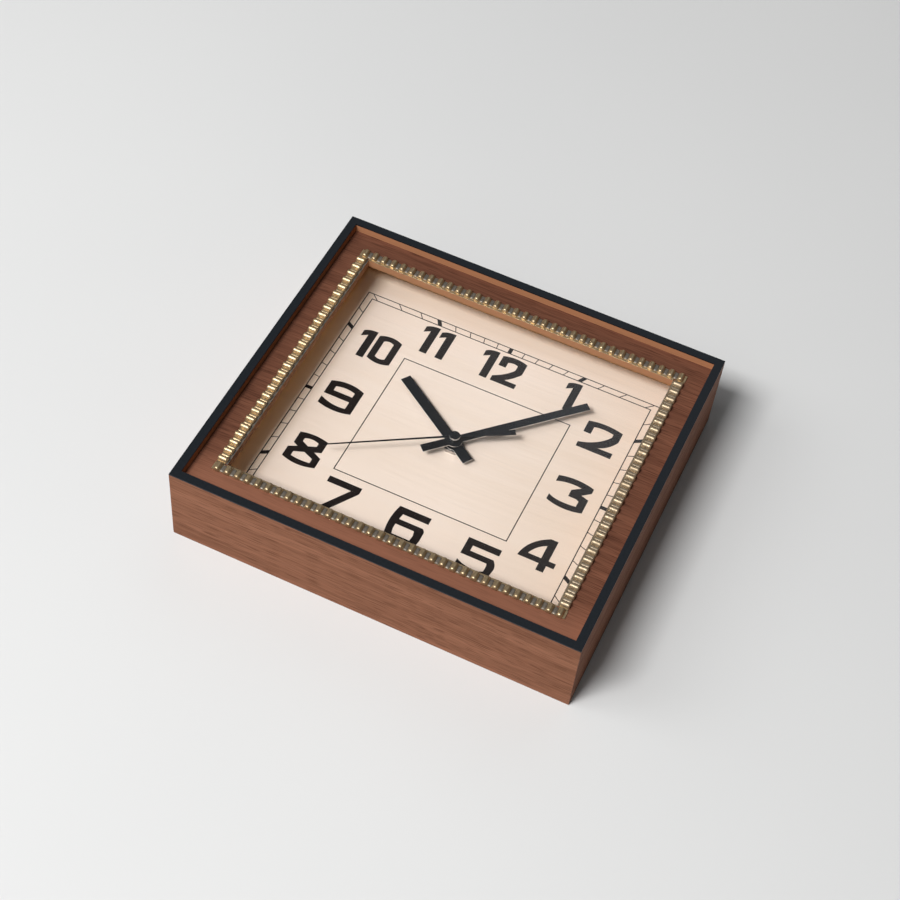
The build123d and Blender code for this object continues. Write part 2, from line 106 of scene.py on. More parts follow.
def spread(tree, value, low, high, to_low=0.0, to_high=1.0):
    """Value stretched from one range to another."""
    limits = {"Value": value, "From Min": low, "From Max": high, "To Min": to_low, "To Max": to_high}
    return node(tree, "ShaderNodeMapRange", limits).outputs["Result"]


def blended(tree, share, first, second, kind="MIX"):
    """Colour mixed between two others."""
    mix = node(tree, "ShaderNodeMix", {0: share, 6: first, 7: second}, data_type="RGBA", blend_type=kind)
    return mix.outputs[2]


def reckon(tree, operation, *values):
    """Result of a sum, from sockets or plain numbers."""
    return node(tree, "ShaderNodeMath", dict(enumerate(values)), operation=operation).outputs["Value"]


def bumped(tree, height, strength, distance):
    """Surface normal with a fine relief."""
    bump = node(tree, "ShaderNodeBump", {"Height": height, "Strength": strength, "Distance": distance})
    return bump.outputs["Normal"]


grain, given = start_group("straight grain",
                           {"Place": "Vector", "Early Wood": "Color", "Late Wood": "Color", "Pore": "Color",
                            "Fineness": "Float", "Pore Share": "Float", "Fibre Contrast": "Float"},
                           {"Colour": "Color", "Height": "Float", "Roughness": "Float"})
wander_scale = 9.0
wander_reach = 0.006
band_stretch = (1.5, 160.0, 160.0)
fibre_stretch = (9.0, 1300.0, 1300.0)
pore_stretch = (90.0, 2600.0, 2600.0)
fine_place = node(grain, "ShaderNodeVectorMath", {0: given["Place"], "Scale": given["Fineness"]},
                  operation="SCALE").outputs["Vector"]
wander = node(grain, "ShaderNodeTexNoise", {"Vector": fine_place, "Scale": wander_scale, "Detail": 1.0})
wander = node(grain, "ShaderNodeVectorMath", {0: wander.outputs["Color"], "Scale": wander_reach},
              operation="SCALE").outputs["Vector"]
bent_place = node(grain, "ShaderNodeVectorMath", {0: fine_place, 1: wander},
                  operation="ADD").outputs["Vector"]
bands = stretched_noise(grain, bent_place, band_stretch, 4.0)
fibres = stretched_noise(grain, bent_place, fibre_stretch, 2.0)
pores = stretched_noise(grain, bent_place, pore_stretch, 0.0)
pore_mask = reckon(grain, "MULTIPLY", spread(grain, pores, 0.56, 0.70), given["Pore Share"])
wood = blended(grain, spread(grain, bands, 0.32, 0.68), given["Late Wood"], given["Early Wood"])
fibre_tone = spread(grain, fibres, 0.3, 0.7, -0.55, 0.45)
fibre_tone = reckon(grain, "MULTIPLY_ADD", fibre_tone, given["Fibre Contrast"], 1.0)
fibre_shade = node(grain, "ShaderNodeCombineColor", dict.fromkeys(("Red", "Green", "Blue"), fibre_tone))
wood = blended(grain, 1.0, wood, fibre_shade.outputs["Color"], "MULTIPLY")
wood = blended(grain, pore_mask, wood, given["Pore"])
relief = reckon(grain, "SUBTRACT", fibres, pore_mask)
oiled = spread(grain, relief, -0.6, 0.7, 0.62, 0.44)
node(grain, "NodeGroupOutput", {"Colour": wood, "Height": relief, "Roughness": oiled})


def wooden(name, turn, early, late, pore, fineness=1.0, pore_share=0.6, fibre_contrast=0.3, depth=0.00004):
    """Wood with its grain along X, or along Y when it is turned by a quarter."""
    material, tree, place, surface = start_material(name)
    turned = node(tree, "ShaderNodeMapping", {"Vector": place, "Rotation": (0.0, 0.0, turn)})
    figure = node(tree, "ShaderNodeGroup", {
        "Place": turned.outputs["Vector"], "Early Wood": early, "Late Wood": late, "Pore": pore,
        "Fineness": fineness, "Pore Share": pore_share, "Fibre Contrast": fibre_contrast},
        node_tree=grain).outputs
    fill(tree, surface, {"Base Color": figure["Colour"], "Roughness": figure["Roughness"],
                         "Normal": bumped(tree, figure["Height"], 0.35, depth), "Specular IOR Level": 0.03})
    return material


def outward(material):
    """Way that a face looks: positive away from the middle of the clock, and negative towards it."""
    tree = material.node_tree
    normal = node(tree, "ShaderNodeNewGeometry").outputs["Normal"]
    place = tree.nodes["Texture Coordinate"].outputs["Object"]
    return node(tree, "ShaderNodeVectorMath", {0: normal, 1: place}, operation="DOT_PRODUCT").outputs["Value"]


def overlaid(material, share, colour):
    """Lays a second tone over a material where the share is high, keeping some of the figure."""
    figure_kept = 0.25
    tree = material.node_tree
    base = tree.nodes["Principled BSDF"].inputs["Base Color"]
    figured = base.links[0].from_socket
    tone = blended(tree, figure_kept, colour, figured)
    tree.links.new(blended(tree, share, figured, tone), base)


def dress(material, *names):
    """Gives CAD nodes a better material."""
    for name in names:
        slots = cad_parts[name].data.materials
        slots.clear()
        slots.append(material)


quarter_turn = pi / 2
walnut = ((0.302, 0.134, 0.079, 1.0), (0.228, 0.097, 0.055, 1.0), (0.100, 0.040, 0.022, 1.0))
bare_walnut = (0.530, 0.248, 0.124, 1.0)
facing_in = (-0.01, -0.02)
for board_name, board_turn, boards in (("walnut_along", 0.0, ("case_top", "case_bottom")),
                                       ("walnut_upright", quarter_turn, ("case_left", "case_right"))):
    board_wood = wooden(board_name, board_turn, *walnut)
    overlaid(board_wood, spread(board_wood.node_tree, outward(board_wood), *facing_in), bare_walnut)
    dress(board_wood, *boards)

# Black edging
# A band glued on the front edge of each board and lacquered near black, with a satin gloss that
# takes a cool tint from the room.
edging, edging_tree, edging_place, edging_surface = start_material("black_edging")
edging_grain = stretched_noise(edging_tree, edging_place, (900.0, 900.0, 900.0), 2.0)
edging_colour = blended(edging_tree, spread(edging_tree, edging_grain, 0.35, 0.65),
                        (0.0090, 0.0115, 0.0150, 1.0), (0.0115, 0.0145, 0.0185, 1.0))
fill(edging_tree, edging_surface, {
    "Base Color": edging_colour, "Roughness": spread(edging_tree, edging_grain, 0.3, 0.7, 0.38, 0.44),
    "Normal": bumped(edging_tree, edging_grain, 0.15, 0.00003), "Specular IOR Level": 0.25})
dress(edging, "edge_band_top", "edge_band_bottom", "edge_band_left", "edge_band_right")

# Front panel
# One veneered board set back inside the case, with the window sawn out of it. Its grain runs across
# the clock and is redder than the case, paler along the lower side. The sawn edges and the back are
# bare wood. The back is palest on the left and brownest along the top, tones that throw more bounce
# light into the shaded left of the dial and less onto its top.


def split(tree, vector):
    """X, Y and Z of a vector."""
    return node(tree, "ShaderNodeSeparateXYZ", {"Vector": vector}).outputs


panel_wood = wooden("walnut_panel", 0.0, (0.176, 0.073, 0.044, 1.0), (0.122, 0.049, 0.030, 1.0),
                    (0.055, 0.021, 0.013, 1.0), fineness=0.95)
panel_tree = panel_wood.node_tree
panel_spot = split(panel_tree, panel_tree.nodes["Texture Coordinate"].outputs["Object"])
panel_facing = split(panel_tree, node(panel_tree, "ShaderNodeNewGeometry").outputs["Normal"])["Z"]
lower_side = spread(panel_tree, panel_spot["Y"], -0.072, -0.092, 0.0, 0.65)
overlaid(panel_wood, lower_side, (0.360, 0.155, 0.095, 1.0))
sawn_edge = spread(panel_tree, outward(panel_wood), *facing_in)
overlaid(panel_wood, sawn_edge, (0.470, 0.240, 0.126, 1.0))
back_left = spread(panel_tree, panel_spot["X"], -0.070, -0.090)
back_top = spread(panel_tree, panel_spot["Y"], 0.060, 0.078)
back_wood = blended(panel_tree, back_left, (0.600, 0.385, 0.180, 1.0), (0.950, 0.640, 0.300, 1.0))
back_wood = blended(panel_tree, back_top, back_wood, (0.380, 0.240, 0.110, 1.0))
overlaid(panel_wood, spread(panel_tree, panel_facing, -0.4, -0.6), back_wood)
dress(panel_wood, "front_panel")

# Brass mouldings
# Four pressed brass strips glued round the window: a rail with tall round ribs and lower ones by turns,
# and a thin lip towards the pane. The brass is mottled with wear, and shade is painted into it: the low
# ribs at the top and bottom and the left lip are painted dark, the right strip is painted half dark, and
# the rest is left bright.


def start_growth(name, counts, sizes):
    """Empty geometry tree with named counts and sizes and one geometry output."""
    tree = bpy.data.node_groups.new(name, "GeometryNodeTree")
    for labels, kind in ((counts, "NodeSocketInt"), (sizes, "NodeSocketFloat")):
        for label in labels:
            tree.interface.new_socket(label, in_out="INPUT", socket_type=kind)
    tree.interface.new_socket("Geometry", in_out="OUTPUT", socket_type="NodeSocketGeometry")
    return tree, node(tree, "NodeGroupInput").outputs


def vector_of(tree, x, y, z):
    """Vector from three sockets or plain numbers."""
    return node(tree, "ShaderNodeCombineXYZ", {"X": x, "Y": y, "Z": z}).outputs["Vector"]


def end_growth(tree, geometry, material):
    """Closes a geometry tree: one real mesh with its material."""
    real = node(tree, "GeometryNodeRealizeInstances", {"Geometry": geometry}).outputs["Geometry"]
    coated = node(tree, "GeometryNodeSetMaterial", {"Geometry": real, "Material": material})
    node(tree, "NodeGroupOutput", {"Geometry": coated.outputs["Geometry"]})


def grown(name, tree, sizes):
    """Plain mesh piece made by a geometry tree from the given counts and sizes."""
    piece = bpy.data.objects.new(name, bpy.data.meshes.new(name))
    bpy.context.scene.collection.objects.link(piece)
    growth = piece.modifiers.new("growth", "NODES")
    growth.node_group = tree
    for socket in tree.interface.items_tree:
        if socket.in_out == "INPUT":
            growth[socket.identifier] = sizes[socket.name]
    evaluated = piece.evaluated_get(bpy.context.evaluated_depsgraph_get())
    piece.data = bpy.data.meshes.new_from_object(evaluated)
    piece.modifiers.remove(growth)
    return piece


def rounded_rib(tree, width, height, reach, end_power):
    """Half-round rib across the strip, with a full barrel, rounded ends and a flat foot."""
    barrel_power = 2.1
    ball = node(tree, "GeometryNodeMeshUVSphere", {"Segments": 32, "Rings": 16, "Radius": 1.0})
    spot = split(tree, node(tree, "GeometryNodeInputPosition").outputs["Position"])
    x_part, y_part, z_part = (
        reckon(tree, "POWER", reckon(tree, "ABSOLUTE", spot[axis]), power)
        for axis, power in (("X", barrel_power), ("Y", end_power), ("Z", barrel_power)))
    girth = reckon(tree, "ADD", x_part, z_part)
    girth = reckon(tree, "POWER", girth, reckon(tree, "DIVIDE", end_power, barrel_power))
    swell = reckon(tree, "ADD", girth, y_part)
    swell = reckon(tree, "POWER", swell, reckon(tree, "DIVIDE", -1.0, end_power))
    half_swell = reckon(tree, "MULTIPLY", swell, 0.5)
    above_foot = reckon(tree, "MAXIMUM", spot["Z"], 0.0)
    x = reckon(tree, "MULTIPLY", reckon(tree, "MULTIPLY", spot["X"], half_swell), width)
    y = reckon(tree, "MULTIPLY", reckon(tree, "MULTIPLY", spot["Y"], half_swell), reach)
    z = reckon(tree, "MULTIPLY", reckon(tree, "MULTIPLY", above_foot, swell), height)
    shaped = vector_of(tree, x, y, z)
    rib = node(tree, "GeometryNodeSetPosition", {"Geometry": ball.outputs["Mesh"], "Position": shaped})
    smooth = {"Geometry": rib.outputs["Geometry"], "Shade Smooth": True}
    return node(tree, "GeometryNodeSetShadeSmooth", smooth).outputs["Geometry"]


def flat_bar(tree, length, width, height, aside):
    """Plain bar along X on the foot of the strip, moved aside from its middle."""
    block = node(tree, "GeometryNodeMeshCube", {"Size": vector_of(tree, length, width, height)})
    middle = vector_of(tree, 0.0, aside, reckon(tree, "MULTIPLY", height, 0.5))
    moved = node(tree, "GeometryNodeTransform", {"Geometry": block.outputs["Mesh"], "Translation": middle})
    return moved.outputs["Geometry"]


def row_of(tree, shape, count, first, step):
    """Copies of a shape in a row along X."""
    start = vector_of(tree, first, 0.0, 0.0)
    offset = vector_of(tree, step, 0.0, 0.0)
    line = node(tree, "GeometryNodeMeshLine", {"Count": count, "Start Location": start, "Offset": offset})
    copies = node(tree, "GeometryNodeInstanceOnPoints", {"Points": line.outputs["Mesh"], "Instance": shape})
    return copies.outputs["Instances"]


def stored(tree, geometry, name, value):
    """Geometry with a number, given by a socket, kept on its points."""
    keeper = node(tree, "GeometryNodeStoreNamedAttribute", {"Geometry": geometry, "Name": name},
                  data_type="FLOAT", domain="POINT")
    number = next(socket for socket in keeper.inputs if socket.name == "Value" and socket.enabled)
    tree.links.new(value, number)
    return keeper.outputs["Geometry"]


brass, brass_tree, brass_place, brass_surface = start_material("worn_and_shaded_brass")
# Painted shade: a number kept on the strip's points darkens and dulls the brass where shadow and dark
# reflections fall.
painted_shade = node(brass_tree, "ShaderNodeAttribute", attribute_name="painted_shade").outputs["Fac"]
painted_shade_dulling = 0.12
brass_mottle = noise(brass_tree, brass_place, 700.0, 4.0)
worn = spread(brass_tree, brass_mottle, 0.35, 0.65)
bright_brass = blended(brass_tree, worn, (0.400, 0.295, 0.170, 1.0), (0.540, 0.405, 0.245, 1.0))
shaded_brass = blended(brass_tree, worn, (0.200, 0.176, 0.152, 1.0), (0.300, 0.262, 0.218, 1.0))
rubbed = spread(brass_tree, worn, 0.0, 1.0, 0.46, 0.36)
fill(brass_tree, brass_surface, {
    "Base Color": blended(brass_tree, painted_shade, bright_brass, shaded_brass),
    "Roughness": reckon(brass_tree, "MULTIPLY_ADD", painted_shade, painted_shade_dulling, rubbed),
    "Normal": bumped(brass_tree, brass_mottle, 0.25, 0.00004), "Metallic": 0.8})

strip_tree, strip = start_growth("reeded strip", ["Ribs"], [
    "Length", "End Power", "Rail Width", "Rail Height", "Tall Width", "Tall Height", "Tall Reach",
    "Tall Painted Shade", "Low Width", "Low Height", "Low Reach", "Low Painted Shade", "Lip Length", "Lip Reach",
    "Lip Height", "Lip Painted Shade"])
rib_step = reckon(strip_tree, "DIVIDE", strip["Length"], strip["Ribs"])
first_tall = reckon(strip_tree, "MULTIPLY", reckon(strip_tree, "SUBTRACT", rib_step, strip["Length"]), 0.5)
first_low = reckon(strip_tree, "MULTIPLY_ADD", rib_step, 0.5, first_tall)
low_count = reckon(strip_tree, "SUBTRACT", strip["Ribs"], 1)
rail = flat_bar(strip_tree, strip["Length"], strip["Rail Width"], strip["Rail Height"], 0.0)
lip_aside = reckon(strip_tree, "ADD", strip["Rail Width"], strip["Lip Reach"])
lip_aside = reckon(strip_tree, "MULTIPLY", lip_aside, 0.5)
lip = flat_bar(strip_tree, strip["Lip Length"], strip["Lip Reach"], strip["Lip Height"], lip_aside)
strip_pieces = [rail, stored(strip_tree, lip, "painted_shade", strip["Lip Painted Shade"])]
for kind, count, first in (("Tall", strip["Ribs"], first_tall), ("Low", low_count, first_low)):
    rib = rounded_rib(strip_tree, strip[kind + " Width"], strip[kind + " Height"], strip[kind + " Reach"],
                      strip["End Power"])
    rib = stored(strip_tree, rib, "painted_shade", strip[kind + " Painted Shade"])
    strip_pieces.append(row_of(strip_tree, rib, count, first, rib_step))
ribbed = node(strip_tree, "GeometryNodeJoinGeometry")
for geometry in strip_pieces:
    strip_tree.links.new(geometry, ribbed.inputs["Geometry"])
end_growth(strip_tree, ribbed.outputs["Geometry"], brass)

rib_pitch = 0.0056
tall_width = 0.0036
low_width = 0.0028
setback = 0.0008
# Shares of the strip's width or height
low_rise = 0.44
low_reach = 0.86
rail_width = 0.88
rail_rise = 0.24
lip_overlap = 0.06
window_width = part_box("trim_right")[0][0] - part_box("trim_left")[1][0] - 2 * setback
window_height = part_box("trim_top")[0][1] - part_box("trim_bottom")[1][1] - 2 * setback
# Turn, lip length, end power, lip height as a share, and painted shade of the tall ribs, low ribs and lip,
# set strip by strip for how the light falls on each
strip_sides = {
    "top": (pi, window_width, 5.5, 0.2, 0.0, 1.0, 0.0),
    "bottom": (0.0, window_width, 5.5, 0.03, 0.0, 1.0, 0.0),
    "left": (-quarter_turn, window_height, 14.0, 0.1, 0.0, 0.0, 1.0),
    "right": (quarter_turn, window_height, 14.0, 0.03, 0.4, 0.6, 0.5),
}
for side, (turn, lip_length, end_power, lip_rise, tall_painted_shade, low_painted_shade, lip_painted_shade) in strip_sides.items():
    low, high = (Vector(corner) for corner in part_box("trim_" + side))
    extent = high - low
    length, width = max(extent.x, extent.y), min(extent.x, extent.y)
    moulding = grown("moulding_" + side, strip_tree, {
        "Length": length, "Ribs": round(length / rib_pitch), "End Power": end_power,
        "Tall Width": tall_width, "Tall Height": extent.z, "Tall Reach": width, "Tall Painted Shade": tall_painted_shade,
        "Low Width": low_width, "Low Height": low_rise * extent.z, "Low Reach": low_reach * width,
        "Low Painted Shade": low_painted_shade, "Rail Width": rail_width * width, "Rail Height": rail_rise * extent.z,
        "Lip Length": lip_length, "Lip Reach": setback + lip_overlap * width,
        "Lip Height": lip_rise * extent.z, "Lip Painted Shade": lip_painted_shade})
    middle = (low + high) / 2
    moulding.data.transform(Matrix.Translation((middle.x, middle.y, low.z)) @ Matrix.Rotation(turn, 4, "Z"))
    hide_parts("trim_" + side)
    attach(moulding, "case")

# Pane
# Clear sheet glass behind the panel, held by the battens. Light passes it without a dark shadow, and
# it keeps a weak mirror of the room.
pane, pane_tree, pane_place, pane_surface = start_material("clear_pane")
pane_smear = noise(pane_tree, pane_place, 14.0, 2.0)
fill(pane_tree, pane_surface, {
    "Base Color": (0.985, 0.995, 0.99, 1.0), "Roughness": spread(pane_tree, pane_smear, 0.3, 0.7, 0.0, 0.02),
    "Transmission Weight": 1.0, "IOR": 1.45})
light_path = node(pane_tree, "ShaderNodeLightPath").outputs
see_through = reckon(pane_tree, "MAXIMUM", light_path["Is Shadow Ray"], light_path["Is Diffuse Ray"])
clear = node(pane_tree, "ShaderNodeBsdfTransparent").outputs["BSDF"]
glazing = node(pane_tree, "ShaderNodeMixShader", {0: see_through, 1: pane_surface.outputs["BSDF"], 2: clear})
pane_end = next(item for item in pane_tree.nodes if item.type == "OUTPUT_MATERIAL")
pane_tree.links.new(glazing.outputs["Shader"], pane_end.inputs["Surface"])
dress(pane, "front_glass")

# Battens and cleats
# Planed strips of warm softwood glued inside the case: battens keep the dial away from the pane, and
# cleats hold it from behind. The left batten is paler and the top one browner, tones that throw more
# bounce light into the shaded left of the dial and less onto its top.
pine = ((0.740, 0.480, 0.240, 1.0), (0.680, 0.420, 0.200, 1.0), (0.540, 0.310, 0.140, 1.0))
pale_pine = ((0.950, 0.660, 0.330, 1.0), (0.900, 0.610, 0.290, 1.0), (0.740, 0.460, 0.200, 1.0))
brown_pine = ((0.460, 0.290, 0.140, 1.0), (0.410, 0.250, 0.115, 1.0), (0.330, 0.190, 0.085, 1.0))
pine_figure = {"fineness": 0.6, "pore_share": 0.2, "fibre_contrast": 0.15}
for pine_name, pine_turn, tones, strips in (
        ("pine_along", 0.0, pine, ("spacer_bottom", "cleat_top", "cleat_bottom")),
        ("pine_upright", quarter_turn, pine, ("spacer_right", "cleat_left", "cleat_right")),
        ("pale_pine_upright", quarter_turn, pale_pine, ("spacer_left",)),
        ("brown_pine_along", 0.0, brown_pine, ("spacer_top",))):
    dress(wooden(pine_name, pine_turn, *tones, **pine_figure), *strips)

# Dial board
# A thin board faced with pale maple, left matt and pressed between battens and cleats. Its figure is
# faint, with short flecks. Light is painted into its colour: the shaded left margin is paler and yellower
# as painted bounce light, and the top and the right are darkened as painted shade.
maple = wooden("maple_dial", 0.0, (0.885, 0.748, 0.655, 1.0), (0.855, 0.710, 0.605, 1.0),
               (0.80, 0.64, 0.52, 1.0), fineness=0.6, pore_share=0.22, fibre_contrast=0.045, depth=0.00001)
maple_tree = maple.node_tree
maple_spot = split(maple_tree, maple_tree.nodes["Texture Coordinate"].outputs["Object"])
# Painted bounce light: the left margin, which lies in shade, is made paler and yellower.
overlaid(maple, spread(maple_tree, maple_spot["X"], -0.078, -0.090), (0.985, 0.815, 0.640, 1.0))
# Painted shade: the top and the right of the dial are darkened and made yellower.
top_painted_shade = spread(maple_tree, maple_spot["Y"], 0.070, 0.082)
right_painted_shade = spread(maple_tree, maple_spot["X"], 0.015, 0.085)
painted_shade_tone = (0.885, 0.856, 0.815, 1.0)
maple_base = maple_tree.nodes["Principled BSDF"].inputs["Base Color"]
maple_with_painted_shade = blended(maple_tree, reckon(maple_tree, "MAXIMUM", top_painted_shade, right_painted_shade),
                     maple_base.links[0].from_socket, painted_shade_tone, "MULTIPLY")
maple_tree.links.new(maple_with_painted_shade, maple_base)
dress(maple, "dial_board")

# Dial print
# Matt black ink on the maple: twelve numbers in a square upright style with bowed tops, a thin inner
# frame, and a track of sixty strokes between two frames.
ink, ink_tree, ink_place, ink_surface = start_material("black_ink")
ink_grain = stretched_noise(ink_tree, ink_place, (400.0, 1800.0, 1800.0), 2.0)
ink_colour = blended(ink_tree, spread(ink_tree, ink_grain, 0.35, 0.65),
                     (0.0080, 0.0052, 0.0048, 1.0), (0.0125, 0.0090, 0.0085, 1.0))
fill(ink_tree, ink_surface, {"Base Color": ink_colour, "Specular IOR Level": 0.08,
                             "Roughness": spread(ink_tree, ink_grain, 0.3, 0.7, 0.55, 0.70)})
dial_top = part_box("dial_board")[1][2]
ink_depth = 0.00004
bend_steps = 8
weld_reach = 1e-7


def curved(corners):
    """Outline from corners; a corner with four numbers bends the stretch after it through a point."""
    points = []
    for k, corner in enumerate(corners):
        here = Vector(corner[:2])
        points.append(here)
        if len(corner) == 4:
            ahead = Vector(corners[(k + 1) % len(corners)][:2])
            pull = 2 * Vector(corner[2:]) - (here + ahead) / 2
            for step in range(1, bend_steps):
                share = step / bend_steps
                points.append((1 - share) ** 2 * here + 2 * share * (1 - share) * pull + share ** 2 * ahead)
    return points


def printed(name, outlines):
    """Flat ink piece from closed outlines; an outline inside another is a hole."""
    curve = bpy.data.curves.new(name, "CURVE")
    curve.dimensions = "2D"
    curve.fill_mode = "BOTH"
    curve.extrude = ink_depth / 2
    for outline in outlines:
        spline = curve.splines.new("POLY")
        spline.points.add(len(outline) - 1)
        spline.use_cyclic_u = True
        for point, (x, y) in zip(spline.points, outline):
            point.co = (x, y, 0.0, 1.0)
    sketch = bpy.data.objects.new(name, curve)
    bpy.context.scene.collection.objects.link(sketch)
    flat = bpy.data.meshes.new_from_object(sketch.evaluated_get(bpy.context.evaluated_depsgraph_get()))
    bpy.data.objects.remove(sketch)
    shape = bmesh.new()
    shape.from_mesh(flat)
    bmesh.ops.remove_doubles(shape, verts=shape.verts, dist=weld_reach)
    bmesh.ops.recalc_face_normals(shape, faces=shape.faces)
    shape.to_mesh(flat)
    shape.free()
    flat.transform(Matrix.Translation((0.0, 0.0, dial_top + ink_depth / 2)))
    flat.materials.clear()
    flat.materials.append(ink)
    piece = bpy.data.objects.new(name, flat)
    bpy.context.scene.collection.objects.link(piece)
    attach(piece, "case")


# Outlines of the figures in millimetres from the lower left corner of each
figures = {
    "0": [[(0, 1.7), (0, 18.2, 6.7, 20.0), (13.4, 18.2), (13.4, 1.6, 6.9, 0)],
          [(3.8, 4.2), (3.8, 15.6, 6.6, 16.6), (9.5, 15.8), (9.5, 4.2, 6.7, 3.3)]],
    "1": [[(3.5, 0), (7.8, 0), (7.8, 19.9), (5.9, 19.9, 2.6, 19.3), (0, 17.9), (0, 13.7), (3.5, 15.8)]],
    "2": [[(0, 0), (19.5, 0), (19.5, 3.7), (10.9, 3.6, 15.8, 6.7), (19.5, 12.0), (19.5, 18.5, 9.5, 19.9),
           (0, 18.6), (0, 10.7), (4.2, 10.7), (4.2, 15.8, 9.5, 16.5), (15.2, 15.8), (15.2, 13.6, 9.0, 7.1),
           (0, 3.1)]],
    "narrow 2": [[(0, 0), (14.2, 0), (14.2, 3.3), (7.2, 3.3, 11.0, 6.8), (14.2, 11.0),
                  (14.2, 18.5, 7.2, 19.9), (0, 18.6), (0, 11.6), (4.2, 11.6), (4.2, 15.4, 7.2, 16.1),
                  (9.8, 15.5), (9.8, 12.2, 5.9, 7.5), (0, 3.4)]],
    "3": [[(0, 18.7, 9.7, 20.1), (19.8, 18.5), (19.8, 15.4), (15.5, 11.9), (19.8, 10.6), (19.8, 1.5, 9.7, 0),
           (0, 1.9), (0, 5.6, 6.2, 3.7), (15.5, 4.0), (15.5, 7.7), (13.8, 8.5), (9.4, 8.5), (9.4, 12.9),
           (13.8, 16.1, 6.7, 16.3), (0, 14.5)]],
    "4": [[(11.7, 0), (15.8, 0), (15.8, 4.3), (19.8, 4.3), (19.8, 7.6), (15.8, 7.6), (15.8, 20.5),
           (11.7, 20.5, 3.6, 13.6), (0, 4.3), (11.7, 4.3)],
          [(11.7, 15.8, 7.4, 12.5), (4.5, 7.6), (11.7, 7.6)]],
    "5": [[(0, 19.9), (18.2, 19.9), (18.2, 16.0), (3.9, 16.0), (3.9, 12.6), (16.7, 12.6, 18.5, 9.8),
           (18.9, 6.9), (18.0, 1.3, 8.5, 0), (0, 1.9), (0, 5.4, 5.6, 3.3), (12.6, 3.0), (14.7, 4.2),
           (14.8, 7.4), (14.4, 9.2), (0, 9.2)]],
    "6": [[(1.5, 20.2), (19.1, 20.2), (19.1, 16.1), (5.0, 16.1), (4.4, 12.6), (17.6, 12.6, 18.9, 11.2),
           (19.2, 9.2), (19.2, 5.1), (18.5, 0), (1.5, 0, 0.1, 10.1)],
          [(4.1, 9.2), (14.4, 9.2), (15.0, 6.3), (14.7, 3.0), (4.7, 3.0), (4.0, 6.3)]],
    "7": [[(0, 19.9), (18.4, 19.9), (18.4, 16.0), (7.9, 0), (3.2, 0), (13.8, 16.0), (0, 16.0)]],
    "8": [[(1.5, 19.6, 9.4, 20.8), (17.6, 19.6), (17.6, 12.1), (14.1, 10.7), (18.8, 8.4), (18.8, 1.8, 9.4, 0),
           (0, 1.8), (0, 8.3), (4.4, 10.6), (1.5, 12.0)],
          [(5.5, 16.8, 9.4, 17.7), (13.5, 16.8), (13.5, 14.6), (9.4, 12.8), (5.5, 14.6)],
          [(9.4, 8.7), (15.0, 6.4), (15.0, 3.6, 9.4, 3.2), (4.1, 3.8), (4.1, 6.6)]],
    "9": [[(0, 17.9, 9.6, 20.0), (19.2, 17.9), (19.2, 1.6, 9.9, 0), (0, 1.6), (0, 6.2, 7.5, 3.7), (15.0, 3.8),
           (15.0, 8.7), (0, 8.7)],
          [(4.0, 15.4, 9.6, 16.3), (15.0, 15.4), (15.0, 12.4), (4.0, 12.4)]],
}
# Figures of each number with the place of their lower left corners on the dial
numbers = {
    "12": (("1", -12.0, 50.0), ("narrow 2", -1.9, 50.0)),
    "1": (("1", 36.7, 50.0),),
    "2": (("2", 56.2, 30.8),),
    "3": (("3", 56.0, -9.8),),
    "4": (("4", 56.5, -50.6),),
    "5": (("5", 30.9, -67.9),),
    "6": (("6", -9.5, -67.1),),
    "7": (("7", -48.1, -66.4),),
    "8": (("8", -76.1, -48.1),),
    "9": (("9", -76.1, -8.2),),
    "10": (("1", -76.6, 31.5), ("0", -67.2, 31.5)),
    "11": (("1", -47.7, 50.0), ("1", -38.3, 50.0)),
}
millimetre = 0.001
for number, parts in numbers.items():
    number_outlines = []
    for figure, x, y in parts:
        for outline in figures[figure]:
            number_outlines.append([millimetre * (point + Vector((x, y))) for point in curved(outline)])
    printed("number_" + number, number_outlines)

frame_line = 0.00055
inner_frame = (0.0485, 0.0417)
track_outer = (0.0865, 0.0754)
track_inner = (0.0828, 0.0717)
thin_stroke = 0.00046
bold_stroke = 0.0022


def frame_outlines(half_width, half_height):
    """Two rectangles, one printed line apart."""
    outlines = []
    for grow in (frame_line / 2, -frame_line / 2):
        x, y = half_width + grow, half_height + grow
        outlines.append([(-x, -y), (x, -y), (x, y), (-x, y)])
    return outlines


printed("inner_frame", frame_outlines(*inner_frame))
printed("track_frames", frame_outlines(*track_outer) + frame_outlines(*track_inner))

stroke_tree, track = start_growth("minute strokes", ["Strokes", "Bold Every"], [
    "Outer Half Width", "Outer Half Height", "Inner Half Width", "Inner Half Height", "Thin Stroke",
    "Bold Stroke", "Ink Depth", "Level"])


def stroke_sum(operation, *values):
    """Result of a sum in the tree of the strokes."""
    return reckon(stroke_tree, operation, *values)


stroke_index = node(stroke_tree, "GeometryNodeInputIndex").outputs["Index"]
stroke_points = node(stroke_tree, "GeometryNodeMeshLine", {
    "Count": track["Strokes"], "Offset": (0.0, 0.0, 0.0)}).outputs["Mesh"]
stroke_angle = stroke_sum("MULTIPLY", stroke_sum("DIVIDE", stroke_index, track["Strokes"]), 2 * pi)
plain_stroke = stroke_sum("MINIMUM", stroke_sum("MODULO", stroke_index, track["Bold Every"]), 1.0)
kept = node(stroke_tree, "GeometryNodeCaptureAttribute", domain="POINT")
kept.capture_items.new("FLOAT", "Angle")
kept.capture_items.new("FLOAT", "Plain")
fill(stroke_tree, kept, {"Geometry": stroke_points, "Angle": stroke_angle, "Plain": plain_stroke})
dash = node(stroke_tree, "GeometryNodeMeshCube", {"Size": (1.0, 1.0, 1.0)}).outputs["Mesh"]
dashes = node(stroke_tree, "GeometryNodeInstanceOnPoints", {
    "Points": kept.outputs["Geometry"], "Instance": dash}).outputs["Instances"]
